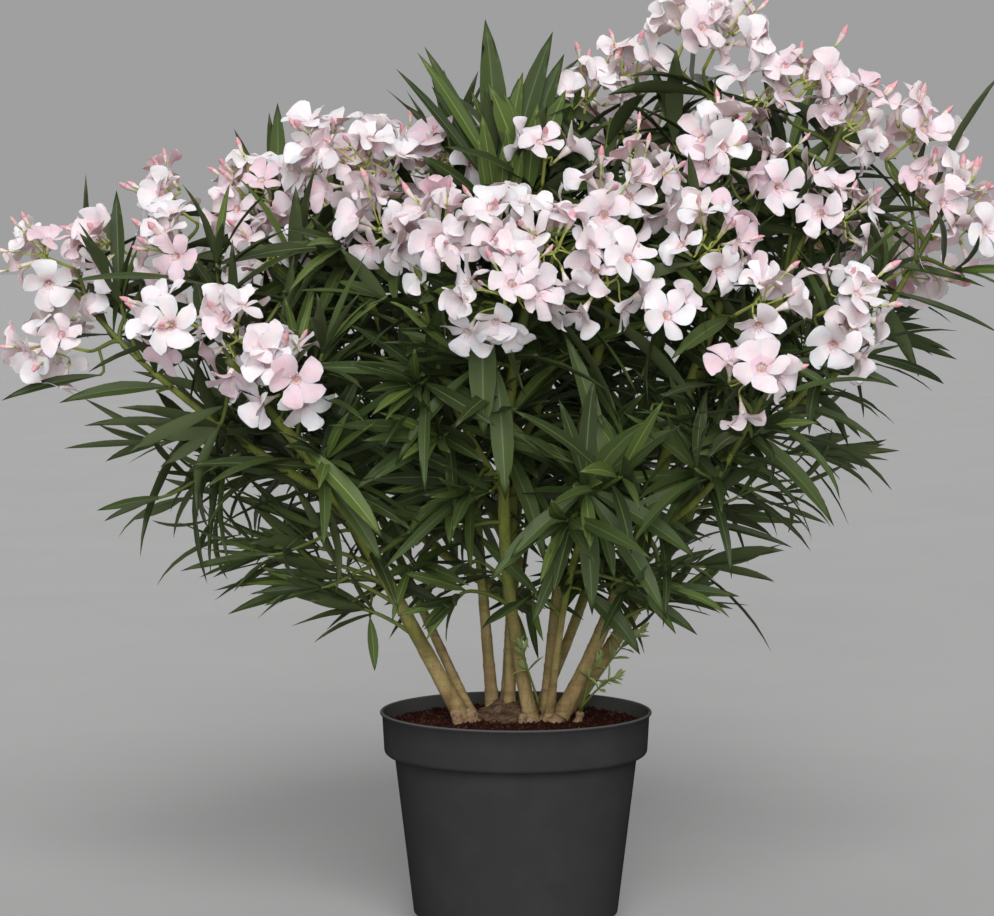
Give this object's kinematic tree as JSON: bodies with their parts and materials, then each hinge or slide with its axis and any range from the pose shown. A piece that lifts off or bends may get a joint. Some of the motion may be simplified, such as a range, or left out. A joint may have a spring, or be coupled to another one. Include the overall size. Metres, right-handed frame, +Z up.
{
  "type": "potted oleander",
  "caption": "Flowering shrub with many stems, narrow pointed leaves and clusters of pale blossom, standing in a round tapered nursery pot.",
  "frame": {"origin": "middle of the pot's flat underside, at the level that the pot stands on", "axes": "+Z up, +X to the right and +Y to the back, seen from the side that the blossom faces"},
  "size_m": [0.9812, 0.6939, 0.9039],
  "materials": {
    "pot": "satin black moulded plastic",
    "soil": "matt crumbly peat and bark",
    "bark": "matt, finely ringed bark, green on the young wood",
    "foliage": "leathery satin leaves",
    "blossom": "soft matt petals"
  },
  "bodies": {
    "root": {"pot": "pot", "soil": "soil", "root_crown": "bark", "stem_back": "bark", "stem_back_left": "bark", "stem_back_right": "bark", "stem_centre": "bark", "stem_front": "bark", "stem_left": "bark", "stem_left_inner": "bark", "stem_middle": "bark", "stem_right": "bark", "stem_right_middle": "bark", "stem_right_outer": "bark", "bough_back_high": "bark", "bough_back_left": "bark", "bough_back_left_high": "bark", "bough_back_right_tip": "bark", "bough_front_left": "bark", "bough_high_centre": "bark", "bough_left_tip": "bark", "bough_left_upper": "bark", "bough_right_front": "bark", "bough_right_low": "bark", "bough_right_tip": "bark", "bough_top_right": "bark", "bough_upper_left": "bark", "foliage_back_high": "foliage", "foliage_back_left": "foliage", "foliage_back_left_high": "foliage", "foliage_back_low_left": "foliage", "foliage_back_low_right": "foliage", "foliage_back_mid": "foliage", "foliage_back_right": "foliage", "foliage_back_right_tip": "foliage", "foliage_centre_low": "foliage", "foliage_front_centre": "foliage", "foliage_front_left": "foliage", "foliage_front_right": "foliage", "foliage_front_rosette": "foliage", "foliage_high_centre": "foliage", "foliage_high_right": "foliage", "foliage_inner_right": "foliage", "foliage_left_front": "foliage", "foliage_left_high": "foliage", "foliage_left_low": "foliage", "foliage_left_skirt": "foliage", "foliage_left_tip": "foliage", "foliage_left_upper": "foliage", "foliage_right_front": "foliage", "foliage_right_low": "foliage", "foliage_right_low_inner": "foliage", "foliage_right_skirt": "foliage", "foliage_right_tip": "foliage", "foliage_top_right": "foliage", "foliage_top_rosette": "foliage", "foliage_upper_left": "foliage", "foliage_upper_mid": "foliage"}
  },
  "joints": []
}
